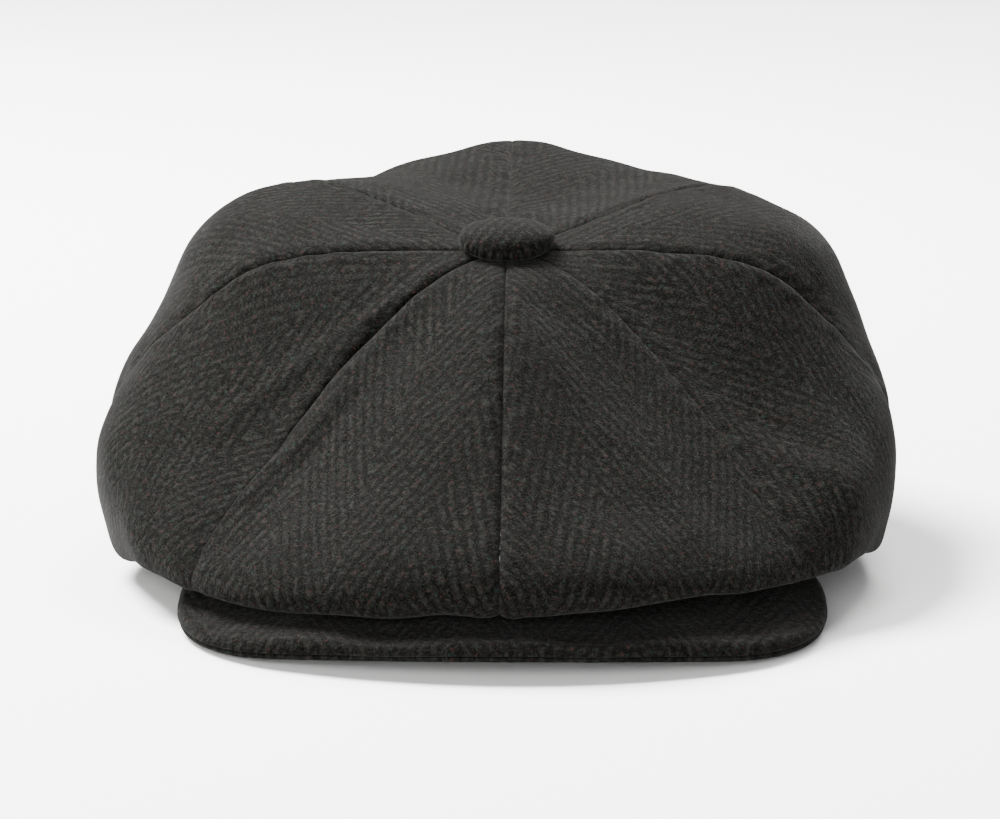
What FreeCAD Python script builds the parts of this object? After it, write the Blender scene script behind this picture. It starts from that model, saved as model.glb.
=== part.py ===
import FreeCAD, Part

import math
import os

import Sketcher

# Newsboy cap with eight crown panels, a stitched peak and a covered button.
# Millimetres, +Z up, the peak points to -Y. The origin is the middle of the head opening, on the
# plane the cap rests on. "left" and "right" are the wearer's: left is +X, right is -X.

doc = FreeCAD.newDocument("newsboy_cap")
sheet = doc.addObject("Spreadsheet::Sheet", "Sizes")

DIMENSIONS = {
    # head opening: a 58 cm head is an oval of these half axes
    "head_half_width": 84.0,
    "head_half_length": 100.0,
    "front_lift": 13.0,            # the front of the head opening is carried this high by the peak
    "lift_start": 35.0,            # y where the opening starts to rise
    "lift_end": -45.0,             # y where it has risen fully
    "lift_round": 220.0,           # radius at both ends of that rise
    "profile_reach": 130.0,        # half length of the blocks that trim the bands
    # bands of the head opening, outward from the head
    "sweatband_thick": 1.6,
    "sweatband_tall": 28.0,
    "tape_gap": 1.0,               # slot behind the sweatband that takes the lining
    "tape_thick": 1.0,
    "tape_tall": 16.0,
    # crown cloth
    "crown_centre_y": -7.0,
    "apex_height": 103.5,
    "apex_tilt": 4.5,              # degrees that the crown's top leans forward under the button
    "apex_hole": 3.6,              # radius left open by the panel tips for the button's shank
    "crown_cloth": 2.0,
    "panel_puff": 3.0,             # how far a panel swells past its seams at the belly
    "panel_dip": 1.5,              # how far it sinks between them at the shoulder
    "rear_fullness": 3.0,          # extra reach of the side back panels
    "side_lift": 7.0,              # the roll sits higher on the wearer's left than on the right
    "horn_lift": 9.0,             # the roll rides up over the two horns of the peak
    "plain_middle": 0.6,           # share of the swelling left out along the front and back seams
    "plain_width": 0.6,            # turn, in radians, over which it comes back
    "side_tuck": 8.5,              # the wearer's left side hangs less wide low down
    "crown_edge_gap": 0.4,
    "crown_edge_low": 3.5,         # height of the sewn edge over the head opening, at the back
    "crown_edge_high": 8.4,        # the same in front, where the peak is sewn in below it
    # lining
    "lining_cloth": 0.6,
    "lining_drop": 11.0,           # room under the crown's top for patch and knot
    "lining_slack": 6.5,           # how far the lining hangs inside the crown
    "lining_tuck": 5.0,            # depth of its edge behind the sweatband
    # peak
    "peak_front": 155.0,           # reach of the front edge from the origin
    "peak_half_width": 102.5,
    "peak_front_radius": 190.0,
    "peak_corner_radius": 52.0,
    "peak_side_y": -88.0,          # where the straight side of the peak ends and its horn begins
    "peak_tilt": 8.0,              # degrees the peak slopes down to the front
    "peak_arch": 460.0,            # radius that the peak is bent to
    "peak_edge_height": 5.6,       # underside of the front edge, in the middle
    "peak_board": 1.8,
    "peak_cloth": 1.6,
    "peak_fold": 0.1,              # slack between board and cloth at the edge
    "peak_root_gap": 0.8,
    # covered button
    "button_radius": 15.7,
    "button_rise": 9.4,
    "button_cloth": 1.1,
    "button_metal": 0.5,
    "button_seat": 0.85,           # clearance to the crown cloth
    "plate_edge": 4.0,             # width of the cloth turned in around the back plate
    "eye_ring": 1.7,
    "eye_wire": 0.45,
    "eye_level": -0.15,            # middle of the eye, from the button's underside
    "thread_loop": 1.35,
    "thread_strand": 0.4,
    "thread_radius": 0.8,
    "patch_radius": 12.0,
    "patch_thick": 1.0,
    "patch_level": -5.0,
    "patch_hole": 1.3,
    "knot_radius": 2.2,
    "knot_tall": 1.4,
    # stitches
    "stitch_radius": 0.3,
    "stitch_long": 3.2,
    "stitch_pitch": 5.5,
    "tab_wide": 12.0,
    "tab_tall": 16.0,
    "tab_thick": 0.5,
}

# Seam lines of the crown, from the button down: (reach from the button, height) of each curve point.
# They run at 0, 45, 90, 135 and 180 degrees from the front, and the cap's two sides share them.
SEAM_POINTS = {
    "front": [(58, 84), (96, 53), (130.5, 35.5), (146, 18), (132.5, 6)],
    "front_side": [(57.5, 78.5), (97, 47.5), (129, 32), (144, 9.5), (130, 7)],
    "side": [(81, 104), (99, 85.5), (140.5, 54.5), (131.5, 20.5), (124, -7.5)],
    "back_side": [(99.5, 121.5), (135.5, 98.5), (124.5, 70), (145, 54), (111.5, -1.5)],
    "back": [(76.5, 110.5), (126.5, 119.5), (148, 115), (131, 46.5), (123, -5)],
}
TOP_REACH = 27.0                   # flat top under and around the button

row = 1
for name, value in DIMENSIONS.items():
    sheet.set("A%d" % row, name)
    sheet.set("B%d" % row, str(value))
    sheet.setAlias("B%d" % row, name)
    row += 1
for seam, points in SEAM_POINTS.items():
    for k, (reach, height) in enumerate(points):
        for word, value in (("reach", reach), ("height", height)):
            sheet.set("A%d" % row, "%s_%s_%d" % (seam, word, k + 1))
            sheet.set("B%d" % row, str(float(value)))
            sheet.setAlias("B%d" % row, "%s_%s_%d" % (seam, word, k + 1))
            row += 1
doc.recompute()


def cell(name):
    """The number in the sheet's cell of that name."""
    return float(getattr(sheet, name))


def bind(obj, **rules):
    """Ties properties of an object to formulas on the sheet's cells, written with [cell] names."""
    for prop, rule in rules.items():
        obj.setExpression(prop.replace("__", "."), on_sheet(rule))
    return obj


def on_sheet(rule):
    return rule.replace("[", "Sizes.").replace("]", "")


def named(obj, label):
    obj.Label = label
    sub_parts.append(obj)
    return obj


sub_parts = []


# ---------------------------------------------------------------- primitives
def oval_prism(name, half_width, half_length, low, tall):
    """Upright prism on an oval: half axes along X and Y, from height low, tall high."""
    oval = doc.addObject("Part::Ellipse", name + "_oval")
    bind(oval, MajorRadius=half_length, MinorRadius=half_width)
    oval.Placement = FreeCAD.Placement(FreeCAD.Vector(0, 0, low), FreeCAD.Rotation(90, 0, 0))
    prism = doc.addObject("Part::Extrusion", name)
    prism.Base = oval
    prism.DirMode = "Custom"
    prism.Dir = FreeCAD.Vector(0, 0, 1)
    prism.Solid = True
    prism.LengthFwd = tall
    return prism


def boolean(kind, name, base, tool):
    result = doc.addObject("Part::" + kind, name)
    result.Base = base
    result.Tool = tool
    return result


def origin_plane(body, role):
    return next(f for f in body.Origin.OriginFeatures if f.Role == role)


def polygon_sketch(body, role, corners):
    """Closed polygon whose corners are (formula, formula) along the plane's two axes."""
    sketch = body.newObject("Sketcher::SketchObject", body.Name + "_sketch")
    sketch.AttachmentSupport = [(origin_plane(body, role), "")]
    sketch.MapMode = "FlatFace"
    places = [tuple(formula_value(f) for f in corner) for corner in corners]
    points = [FreeCAD.Vector(u, v, 0) for u, v in places]
    count = len(points)
    for k in range(count):
        sketch.addGeometry(Part.LineSegment(points[k], points[(k + 1) % count]))
    for k in range(count):
        sketch.addConstraint(Sketcher.Constraint("Coincident", k, 2, (k + 1) % count, 1))
    for k in range(count):
        for kind, axis in (("DistanceX", 0), ("DistanceY", 1)):
            index = sketch.addConstraint(Sketcher.Constraint(kind, -1, 1, k, 1, places[k][axis]))
            sketch.setExpression("Constraints[%d]" % index, on_sheet(corners[k][axis]))
    return sketch


def formula_value(rule):
    """Value of a formula on [cell] names."""
    probe.setExpression("Value", on_sheet(rule))
    probe.recompute()
    return float(probe.Value)


probe = doc.addObject("App::FeaturePython", "Formula")
probe.addProperty("App::PropertyFloat", "Value")


# ---------------------------------------------------------------- bands of the head opening
def side_profile(name, low, tall):
    """Block as wide as the cap whose side view follows the lifted opening, from low to low + tall."""
    body = doc.addObject("PartDesign::Body", name)
    back, front = "[profile_reach]", "-[profile_reach]"
    rest = [(back, low), ("[lift_start]", low), ("[lift_end]", "[front_lift] + " + low),
            (front, "[front_lift] + " + low)]
    top = [(y, "%s + %s" % (z, tall)) for y, z in reversed(rest)]
    sketch = polygon_sketch(body, "YZ_Plane", rest + top)
    pad = body.newObject("PartDesign::Pad", name + "_pad")
    pad.Profile = sketch
    pad.Midplane = True
    bind(pad, Length="2 * [profile_reach]")
    doc.recompute()
    bends = []
    for k, edge in enumerate(pad.Shape.Edges):
        y = edge.CenterOfMass.y
        along_x = edge.BoundBox.XLength > cell("profile_reach")
        if along_x and min(abs(y - cell("lift_start")), abs(y - cell("lift_end"))) < 1e-3:
            bends.append("Edge%d" % (k + 1))
    fillet = body.newObject("PartDesign::Fillet", name + "_bends")
    fillet.Base = (pad, bends)
    bind(fillet, Radius="[lift_round]")
    body.Tip = fillet
    return body


def band(label, inner, thick, low, tall):
    """Oval ring: inner is its distance outward from the head opening."""
    outer = "%s + %s" % (inner, thick)
    below, height = -10.0, 90.0
    ovals = [oval_prism("%s_%s" % (label, side), "[head_half_width] + " + out, "[head_half_length] + " + out,
                        below, height) for side, out in (("outer", outer), ("inner", inner))]
    ring = boolean("Cut", label + "_ring", *ovals)
    return named(boolean("Common", label, ring, side_profile(label + "_profile", low, tall)), label)


band("sweatband", "0", "[sweatband_thick]", "0", "[sweatband_tall]")
band("headsize_tape", "[sweatband_thick] + [tape_gap]", "[tape_thick]", "0", "[tape_tall]")
BAND_OUT = cell("sweatband_thick") + cell("tape_gap") + cell("tape_thick")


def band_reach(turn, out):
    """Distance from the crown's centre, at an angle from the front, to an oval that much outside the head."""
    a = cell("head_half_width") + out
    b = cell("head_half_length") + out
    dx, dy = math.sin(turn), -math.cos(turn)
    y0 = cell("crown_centre_y")
    qa = (dx / a) ** 2 + (dy / b) ** 2
    qb = 2 * y0 * dy / b ** 2
    qc = (y0 / b) ** 2 - 1
    return (-qb + math.sqrt(qb * qb - 4 * qa * qc)) / (2 * qa)


def lifted(y):
    """Share of the front lift that the head opening has reached at y: a straight rise with soft ends."""
    part = (cell("lift_start") - y) / (cell("lift_start") - cell("lift_end"))
    soft = 0.22
    part = min(max(part, -soft), 1 + soft)
    if part < soft:
        return (part + soft) ** 2 / (4 * soft)
    if part > 1 - soft:
        return 1 - (1 + soft - part) ** 2 / (4 * soft)
    return part


def opening_height(y):
    return cell("front_lift") * lifted(y)


# ---------------------------------------------------------------- crown
def keyed(values, turn):
    """Smooth even curve through values at 0, 45, 90, 135 and 180 degrees: a sum of five cosines."""
    n = len(values) - 1
    total = 0.0
    for k in range(n + 1):
        weight = sum(values[j] * math.cos(k * math.pi * j / n) * (0.5 if j in (0, n) else 1.0)
                     for j in range(n + 1)) * 2 / n
        total += weight * math.cos(k * turn) * (0.5 if k in (0, n) else 1.0)
    return total


def crown_poles(turn):
    """Curve points (reach, height) of the crown's outer face at an angle from the front."""
    tilt = math.tan(math.radians(cell("apex_tilt")))
    apex = cell("apex_height")
    poles = [[cell("apex_hole"), apex - cell("apex_hole") * tilt * math.cos(turn)],
             [TOP_REACH, apex - TOP_REACH * tilt * math.cos(turn)]]
    for k in range(5):
        poles.append([keyed([cell("%s_%s_%d" % (seam, word, k + 1)) for seam in SEAM_POINTS], turn)
                      for word in ("reach", "height")])
    edge = band_reach(turn, BAND_OUT) + cell("crown_edge_gap")
    y = cell("crown_centre_y") - edge * math.cos(turn)
    rise = cell("crown_edge_low") + (cell("crown_edge_high") - cell("crown_edge_low")) * lifted(y)
    poles.append([edge, opening_height(y) + rise])
    angle = min(turn, 2 * math.pi - turn)
    plain = math.exp(-(angle / cell("plain_width")) ** 2) + math.exp(-((angle - math.pi) / cell("plain_width")) ** 2)
    swell = (0.5 - (1 - abs(math.sin(4 * turn))) ** 1.5) * (1 - cell("plain_middle") * plain)
    side_back = math.exp(-((angle - math.radians(113)) / math.radians(17)) ** 2)
    poles[2][0] -= 0.4 * cell("panel_dip") * swell
    poles[2][1] -= cell("panel_dip") * swell
    poles[3][0] += cell("rear_fullness") * side_back
    poles[4][0] += cell("panel_puff") * swell + 0.6 * cell("rear_fullness") * side_back
    poles[5][0] += 0.8 * cell("panel_puff") * swell
    tuck = cell("side_tuck") * max(math.sin(turn), 0) ** 2
    poles[4][0] -= 0.5 * tuck
    poles[5][0] -= tuck
    lift = cell("side_lift") * 0.5 * (1 + math.sin(turn)) * max(math.cos(turn) + 0.35, 0)
    horn = cell("horn_lift") * math.exp(-((angle - math.radians(60)) / math.radians(14)) ** 2)
    poles[4][1] += 0.4 * lift
    poles[5][1] += 0.9 * lift + 0.2 * horn
    poles[6][1] += 0.9 * lift + horn
    return poles


def inset(poles, depth):
    """The same curve points moved inward, square to the line through them."""
    legs = []
    for p, q in zip(poles, poles[1:]):
        length = math.hypot(q[0] - p[0], q[1] - p[1])
        legs.append(((q[1] - p[1]) / length, -(q[0] - p[0]) / length))
    moved = []
    for k, (reach, height) in enumerate(poles):
        u = legs[max(k - 1, 0)]
        v = legs[min(k, len(legs) - 1)]
        share = depth / (1 + u[0] * v[0] + u[1] * v[1])
        moved.append([reach + share * (u[0] + v[0]), height + share * (u[1] + v[1])])
    return moved


def standing(poles, turn):
    """Curve points set up in the cap, in the upright plane at that angle from the front."""
    y0 = cell("crown_centre_y")
    return [FreeCAD.Vector(r * math.sin(turn), y0 - r * math.cos(turn), z) for r, z in poles]


def smooth_curve(points):
    count = len(points)
    curve = Part.BSplineCurve()
    spans = count - 3
    curve.buildFromPolesMultsKnots(points, [4] + [1] * (spans - 1) + [4], list(range(spans + 1)), False, 3)
    return curve.toShape()


def cloth_section(outer, inner, turn):
    """Closed section of a cloth between two curves."""
    outer, inner = standing(outer, turn), standing(inner, turn)
    return Part.Wire([smooth_curve(outer), Part.LineSegment(outer[-1], inner[-1]).toShape(),
                      smooth_curve(inner[::-1]), Part.LineSegment(inner[0], outer[0]).toShape()])


def gore(label, start, section):
    """Cloth gore an eighth of a turn wide, lofted through sections at even angles."""
    steps = 6
    wires = [section(start + k * math.pi / 4 / steps) for k in range(steps + 1)]
    piece = doc.addObject("Part::Feature", label)
    piece.Shape = Part.makeLoft(wires, True, False)
    return named(piece, label)


def crown_section(turn):
    outer = crown_poles(turn)
    return cloth_section(outer, inset(outer, cell("crown_cloth")), turn)


def lining_poles(turn):
    """The lining hangs inside the crown and runs straight down into the slot behind the sweatband."""
    crown = crown_poles(turn)
    slack = cell("lining_slack")
    slot = band_reach(turn, cell("sweatband_thick") + cell("tape_gap") / 2)
    rim = opening_height(cell("crown_centre_y") - slot * math.cos(turn)) + cell("sweatband_tall")
    top = cell("apex_height") - cell("lining_drop")
    upper = [crown[2][0] - slack, crown[2][1] - 1.2 * slack]
    full = 0.5 - 0.5 * math.cos(turn)          # 0 on the tight front slope, 1 in the full back
    tight = [[upper[j] + share * ((slot, rim + 4)[j] - upper[j]) for j in (0, 1)] for share in (0.55, 0.9)]
    shoulder = [crown[3][0] - 1.3 * slack, crown[3][1] - 1.3 * slack]
    belly = [0.5 * (shoulder[0] + slot) + slack, 0.5 * (shoulder[1] + rim) + slack]
    loose = [shoulder, belly]
    middle = [[t + full * (v - t) for t, v in zip(a, b)] for a, b in zip(tight, loose)]
    return [[0.8, top], [20.0, top], upper, *middle,
            [slot + 1.5 * full, rim + 2 + 6 * full], [slot, rim + 1], [slot, rim - cell("lining_tuck")]]


def lining_section(turn):
    outer = lining_poles(turn)
    outer = inset(outer, -cell("lining_cloth") / 2)
    return cloth_section(outer, inset(outer, cell("lining_cloth")), turn)


GORES = ["front_left", "front_side_left", "back_side_left", "back_left",
         "back_right", "back_side_right", "front_side_right", "front_right"]
for k, word in enumerate(GORES):
    gore("crown_panel_" + word, k * math.pi / 4, crown_section)
for k, word in enumerate(GORES):
    gore("lining_gore_" + word, k * math.pi / 4, lining_section)


# ---------------------------------------------------------------- peak
def peak_outline(name, margin):
    """Upright block with the peak's plan outline, drawn in by margin."""
    body = doc.addObject("PartDesign::Body", name)
    sketch = body.newObject("Sketcher::SketchObject", name + "_sketch")
    sketch.AttachmentSupport = [(origin_plane(body, "XY_Plane"), "")]
    sketch.MapMode = "FlatFace"
    inset_by = cell(margin) if margin else 0.0
    wide = cell("peak_half_width") - inset_by
    front = cell("peak_front") - inset_by
    big = cell("peak_front_radius") - inset_by
    small = cell("peak_corner_radius") - inset_by
    middle = big - front                                    # y of the front arc's centre
    corner_x = wide - small
    corner_y = middle - math.sqrt((big - small) ** 2 - corner_x ** 2)
    side_y = cell("peak_side_y")
    lean = math.atan2(corner_x, middle - corner_y)          # from straight ahead to the corner arc

    def arc(x, y, radius, start, end):
        circle = Part.Circle(FreeCAD.Vector(x, y, 0), FreeCAD.Vector(0, 0, 1), radius)
        return Part.ArcOfCircle(circle, start, end)

    quarter = math.pi / 2
    horn_y = side_y + small
    sketch.addGeometry([
        arc(0, middle, big, 3 * quarter - lean, 3 * quarter + lean),
        arc(corner_x, corner_y, small, 3 * quarter + lean, 4 * quarter),
        Part.LineSegment(FreeCAD.Vector(wide, corner_y, 0), FreeCAD.Vector(wide, side_y, 0)),
        arc(corner_x, side_y, small, 0, quarter),
        Part.LineSegment(FreeCAD.Vector(corner_x, horn_y, 0), FreeCAD.Vector(-corner_x, horn_y, 0)),
        arc(-corner_x, side_y, small, quarter, 2 * quarter),
        Part.LineSegment(FreeCAD.Vector(-wide, side_y, 0), FreeCAD.Vector(-wide, corner_y, 0)),
        arc(-corner_x, corner_y, small, 2 * quarter, 3 * quarter - lean),
    ])
    last = 8
    for k in range(last):
        sketch.addConstraint(Sketcher.Constraint("Tangent", k, 2, (k + 1) % last, 1))
    inset_rule = " - [%s]" % margin if margin else ""
    sizes = [("Radius", (0,), big, "[peak_front_radius]" + inset_rule)]
    sizes += [("Radius", (k,), small, "[peak_corner_radius]" + inset_rule) for k in (1, 3, 5, 7)]
    sizes.append(("DistanceX", (-1, 1, 2, 1), wide, "[peak_half_width]" + inset_rule))
    sizes.append(("DistanceY", (-1, 1, 2, 2), side_y, "[peak_side_y]"))
    sizes.append(("DistanceY", (-1, 1, 0, 3), middle, "[peak_front_radius] - [peak_front]"))
    sketch.addConstraint(Sketcher.Constraint("PointOnObject", 0, 3, -2))
    for kind, ends, value, rule in sizes:
        index = sketch.addConstraint(Sketcher.Constraint(kind, *ends, value))
        sketch.setExpression("Constraints[%d]" % index, on_sheet(rule))
    pad = body.newObject("PartDesign::Pad", name + "_pad")
    pad.Profile = sketch
    bind(pad, Length="[peak_front_radius]")
    pad.Midplane = True
    return body


def arched_slab(name, low, high):
    """Bent sheet that slopes to the front, between two heights above the underside of the peak."""
    tilt = math.radians(cell("peak_tilt"))
    up = FreeCAD.Vector(0, -math.sin(tilt), math.cos(tilt))
    along = FreeCAD.Vector(0, math.cos(tilt), math.sin(tilt))
    edge = FreeCAD.Vector(0, -cell("peak_front"), cell("peak_edge_height"))
    start = edge - up * cell("peak_arch") - along * 40
    rounds = []
    for side, rise in (("top", high), ("bottom", low)):
        drum = doc.addObject("Part::Cylinder", "%s_%s" % (name, side))
        bind(drum, Radius="[peak_arch] + " + rise, Height="[peak_arch]")
        drum.Placement = FreeCAD.Placement(start, FreeCAD.Rotation(FreeCAD.Vector(0, 0, 1), along))
        rounds.append(drum)
    return boolean("Cut", name, *rounds)


def peak_layer(name, margin, low, high):
    """Crescent of the peak, trimmed along the band and bent."""
    hollow = oval_prism(name + "_root", "[head_half_width] + %g + [peak_root_gap]" % BAND_OUT,
                        "[head_half_length] + %g + [peak_root_gap]" % BAND_OUT, -50.0, 150.0)
    crescent = boolean("Cut", name + "_plan", peak_outline(name + "_outline", margin), hollow)
    return boolean("Common", name + "_bent", crescent, arched_slab(name + "_slab", low, high))


sheet.set("A%d" % row, "peak_wrap")
sheet.set("B%d" % row, "=peak_cloth + peak_fold")
sheet.setAlias("B%d" % row, "peak_wrap")
sheet.set("A%d" % (row + 1), "peak_under_edge")
sheet.set("B%d" % (row + 1), "=peak_fold + 0.3")
sheet.setAlias("B%d" % (row + 1), "peak_under_edge")
doc.recompute()

named(peak_layer("peak_board", "peak_wrap", "[peak_cloth]", "[peak_cloth] + [peak_board]"), "peak_board")
named(peak_layer("peak_under_cover", "peak_under_edge", "0", "[peak_cloth]"), "peak_under_cover")
top_full = peak_layer("peak_top_cover", "", "[peak_cloth]", "2 * [peak_cloth] + [peak_board]")
top_room = peak_layer("peak_top_room", "peak_wrap", "0", "[peak_cloth] + [peak_board]")
named(boolean("Cut", "peak_top_cover", top_full, top_room), "peak_top_cover")


# ---------------------------------------------------------------- covered button
def button_frame():
    """Place of the button: its axis leans forward with the crown's top."""
    tilt = cell("apex_tilt")
    lift = FreeCAD.Vector(0, 0, cell("button_seat"))
    turn = FreeCAD.Rotation(FreeCAD.Vector(1, 0, 0), tilt)
    base = FreeCAD.Vector(0, cell("crown_centre_y"), cell("apex_height"))
    return FreeCAD.Placement(base + turn.multVec(lift), turn)


def turned(label, outline):
    """Piece turned about the button's axis: outline is (reach, height) formulas, corner by corner."""
    body = doc.addObject("PartDesign::Body", label)
    sketch = polygon_sketch(body, "XZ_Plane", outline)
    turning = body.newObject("PartDesign::Revolution", label + "_turning")
    turning.Profile = sketch
    turning.ReferenceAxis = (sketch, ["V_Axis"])
    turning.Angle = 360
    body.Placement = button_frame()
    return named(body, label)


def dome(inner, steps, reach, rise, low):
    """Corners of a domed line: height falls with the square and the eighth power of the share of the reach."""
    corners = []
    for k in range(steps + 1):
        share = k / steps
        drop = 0.3 * share ** 2 + 0.7 * share ** 8
        corners.append(("%g * (%s)" % (share, reach), "%s + (%s) * %g" % (low, rise, 1 - drop)))
    return corners[::-1] if inner else corners


STEPS = 8                          # straight runs in each domed line
LIP = "[button_radius] - [plate_edge]"
CLOTH_IN = "[button_radius] - [button_cloth]"
METAL_OUT = "[button_radius] - [button_cloth] - 0.1"
METAL_IN = "[button_radius] - [button_cloth] - 0.1 - [button_metal]"
RIM = "1.2 * [button_cloth]"       # the metal shell stands on the turned-in cloth
turned("button_cover",
       dome(False, STEPS, "[button_radius]", "[button_rise] - [button_cloth]", "[button_cloth]")
       + [("[button_radius]", "0"), (LIP, "0"), (LIP, "[button_cloth]"), (CLOTH_IN, "[button_cloth]")]
       + dome(True, STEPS, CLOTH_IN, "[button_rise] - 2.2 * [button_cloth]", RIM))
turned("button_shell",
       dome(False, STEPS, METAL_OUT, "[button_rise] - 2.3 * [button_cloth] - 0.1", RIM)
       + dome(True, STEPS, METAL_IN, "[button_rise] - 2.3 * [button_cloth] - 0.1 - [button_metal]", RIM))
turned("button_back_plate",
       [("0", "0.1"), (LIP + " - 0.1", "0.1"), (LIP + " - 0.1", "0.1 + [button_metal]"),
        ("0", "0.1 + [button_metal]")])


def on_button(x, y, z, axis=(0, 0, 1), turn=0.0):
    """Place given from the middle of the button's underside, along its leaning axis."""
    local = FreeCAD.Placement(FreeCAD.Vector(x, y, z), FreeCAD.Rotation(FreeCAD.Vector(*axis), turn))
    return button_frame().multiply(local)


def ring(name, radius, wire, place):
    torus = doc.addObject("Part::Torus", name)
    bind(torus, Radius1=radius, Radius2=wire)
    torus.Placement = place
    return torus


def drum(name, radius, tall, place):
    cylinder = doc.addObject("Part::Cylinder", name)
    bind(cylinder, Radius=radius, Height=tall)
    cylinder.Placement = place
    return cylinder


eye_level = cell("eye_level")
loop_level = eye_level - cell("eye_ring")
shank_top = loop_level - cell("thread_loop")
shank_long = shank_top - cell("patch_level") + 1.0
named(ring("button_eye", "[eye_ring]", "[eye_wire]", on_button(0, 0, eye_level, (1, 0, 0), 90)), "button_eye")
thread = doc.addObject("Part::MultiFuse", "button_thread")
thread.Shapes = [
    ring("thread_loop_ring", "[thread_loop]", "[thread_strand]", on_button(0, 0, loop_level, (0, 1, 0), 90)),
    drum("thread_shank", "[thread_radius]", "[eye_level] - [eye_ring] - [thread_loop] - [patch_level] + 1",
         on_button(0, 0, shank_top - shank_long)),
    drum("thread_knot", "[knot_radius]", "[knot_tall]", on_button(0, 0, shank_top - shank_long - 0.8)),
]
named(thread, "button_thread")
patch_place = on_button(0, 0, cell("patch_level"))
named(boolean("Cut", "button_stay_patch",
              drum("patch_disc", "[patch_radius]", "[patch_thick]", patch_place),
              drum("patch_bore", "[patch_hole]", "[patch_thick]", patch_place)), "button_stay_patch")


# ---------------------------------------------------------------- stitches and tab
def stitches(label, places, long):
    """Row of thread stitches, each a short round bar on a place (point, direction)."""
    bars = []
    for point, direction in places:
        unit = direction.normalize()
        start = point - unit * (long / 2)
        bars.append(Part.makeCylinder(cell("stitch_radius"), long, start, unit))
    piece = doc.addObject("Part::Feature", label)
    piece.Shape = Part.makeCompound(bars)
    return named(piece, label)


def band_stitches():
    """One row round the inside of the sweatband, just above the head opening's edge."""
    places = []
    out = -cell("stitch_radius") - 0.15
    a, b = cell("head_half_width") + out, cell("head_half_length") + out
    count = int(2 * math.pi * math.sqrt((a * a + b * b) / 2) / cell("stitch_pitch"))
    slope = cell("front_lift") / (cell("lift_start") - cell("lift_end"))
    for k in range(count):
        u = 2 * math.pi * k / count
        y = b * math.sin(u)
        rising = cell("lift_end") < y < cell("lift_start")
        along = FreeCAD.Vector(-a * math.sin(u), b * math.cos(u), -slope * b * math.cos(u) if rising else 0)
        places.append((FreeCAD.Vector(a * math.cos(u), y, opening_height(y) + 5), along))
    return places


stitches("sweatband_stitching", band_stitches(), cell("stitch_long"))


def seam_stitches():
    """Hidden rows on the inner face of the crown, along its eight seams."""
    places = []
    count = 15
    for seam in range(8):
        turn = seam * math.pi / 4
        inner = inset(crown_poles(turn), cell("crown_cloth") + cell("stitch_radius") + 0.25)
        line = smooth_curve(standing(inner, turn)).Curve
        first, last = 0.8, line.LastParameter - 1.4
        for k in range(count):
            t = first + (last - first) * k / (count - 1)
            places.append((line.value(t), FreeCAD.Vector(*line.tangent(t)[0])))
    return places


stitches("crown_seam_stitching", seam_stitches(), 0.8 * cell("stitch_long"))


def peak_stitches():
    """Row under the peak, along the turned edge, where the top cover is sewn to the under cover."""
    tilt = math.radians(cell("peak_tilt"))
    sink = cell("stitch_radius") + 0.05
    margin = 5.0
    wide = cell("peak_half_width") - margin
    big = cell("peak_front_radius") - margin
    small = cell("peak_corner_radius") - margin
    middle = cell("peak_front_radius") - cell("peak_front")
    corner_x = wide - small
    corner_y = middle - math.sqrt((big - small) ** 2 - corner_x ** 2)
    lean = math.atan2(corner_x, middle - corner_y)
    plan = []
    count = int(big * lean / cell("stitch_pitch"))
    for k in range(-count, count + 1):
        angle = lean * k / count
        plan.append((big * math.sin(angle), middle - big * math.cos(angle)))
    turns = 6
    for k in range(1, turns + 1):
        angle = lean + (math.pi / 2 - lean) * k / turns
        x, y = corner_x + small * math.sin(angle), corner_y - small * math.cos(angle)
        plan.insert(0, (-x, y))
        plan.append((x, y))

    def under(x, y):
        arch = cell("peak_arch")
        bow = arch - math.sqrt(arch ** 2 - x ** 2)
        front = cell("peak_edge_height") + (y + cell("peak_front")) * math.tan(tilt)
        return FreeCAD.Vector(x, y, front - (bow + sink) / math.cos(tilt))

    points = [under(x, y) for x, y in plan]
    return [(p, q - o) for o, p, q in zip(points, points[1:], points[2:])]


stitches("peak_edge_stitching", peak_stitches(), cell("stitch_long"))

tab = doc.addObject("Part::Box", "size_tab")
bind(tab, Length="[tab_wide]", Width="[tab_thick]", Height="[tab_tall]")
tab.Placement.Base = FreeCAD.Vector(-cell("tab_wide") / 2, cell("head_half_length") - cell("tab_thick") - 0.9, 9.0)
named(tab, "size_tab")

# ---------------------------------------------------------------- checks and files
doc.recompute()
for obj in doc.Objects:
    if "Invalid" in obj.State or "Error" in obj.State:
        raise RuntimeError("%s failed to build: %s" % (obj.Name, obj.State))
os.makedirs("parts", exist_ok=True)
for obj in sub_parts:
    if obj.Shape.isNull() or not obj.Shape.isValid():
        raise RuntimeError("%s has no valid shape" % obj.Label)
    obj.Shape.exportStep("parts/%s.step" % obj.Label)
    box = obj.Shape.BoundBox
    print("%-28s %8.0f mm3  z %6.1f..%6.1f  solids %d" % (obj.Label, obj.Shape.Volume, box.ZMin, box.ZMax,
                                                          len(obj.Shape.Solids)))
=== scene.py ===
import math

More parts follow.
